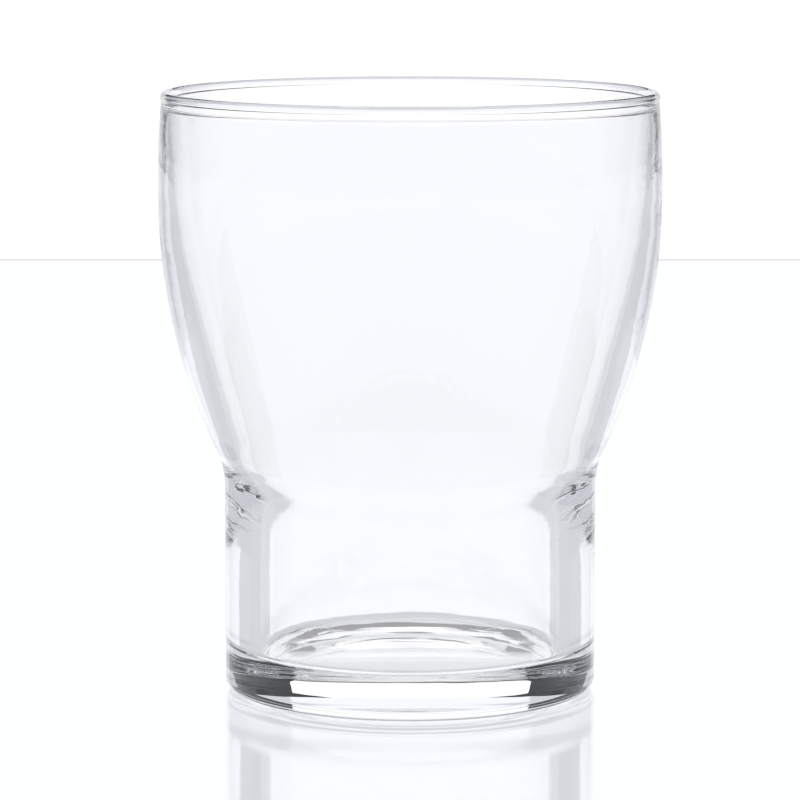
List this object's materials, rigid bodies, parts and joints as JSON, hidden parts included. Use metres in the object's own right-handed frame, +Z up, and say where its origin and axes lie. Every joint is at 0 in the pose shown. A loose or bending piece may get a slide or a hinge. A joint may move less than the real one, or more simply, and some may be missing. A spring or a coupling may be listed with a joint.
{
  "type": "mixing glass",
  "caption": "Clear pressed-glass tumbler with a thick base, a straight foot, a shoulder for stacking and a round bowl with a rounded lip.",
  "frame": {"origin": "centre of the ring that the glass stands on, at table height", "axes": "+Z up along the axis of the glass, from the base to the lip; the glass is round, so +X and +Y are any two directions across it"},
  "size_m": [0.0844, 0.0844, 0.101],
  "materials": {
    "clear_glass": "clear soda-lime glass, fire-polished, colourless with a faint cool tint where it is thick"
  },
  "bodies": {
    "root": {"glass_body": "clear_glass"}
  },
  "joints": []
}
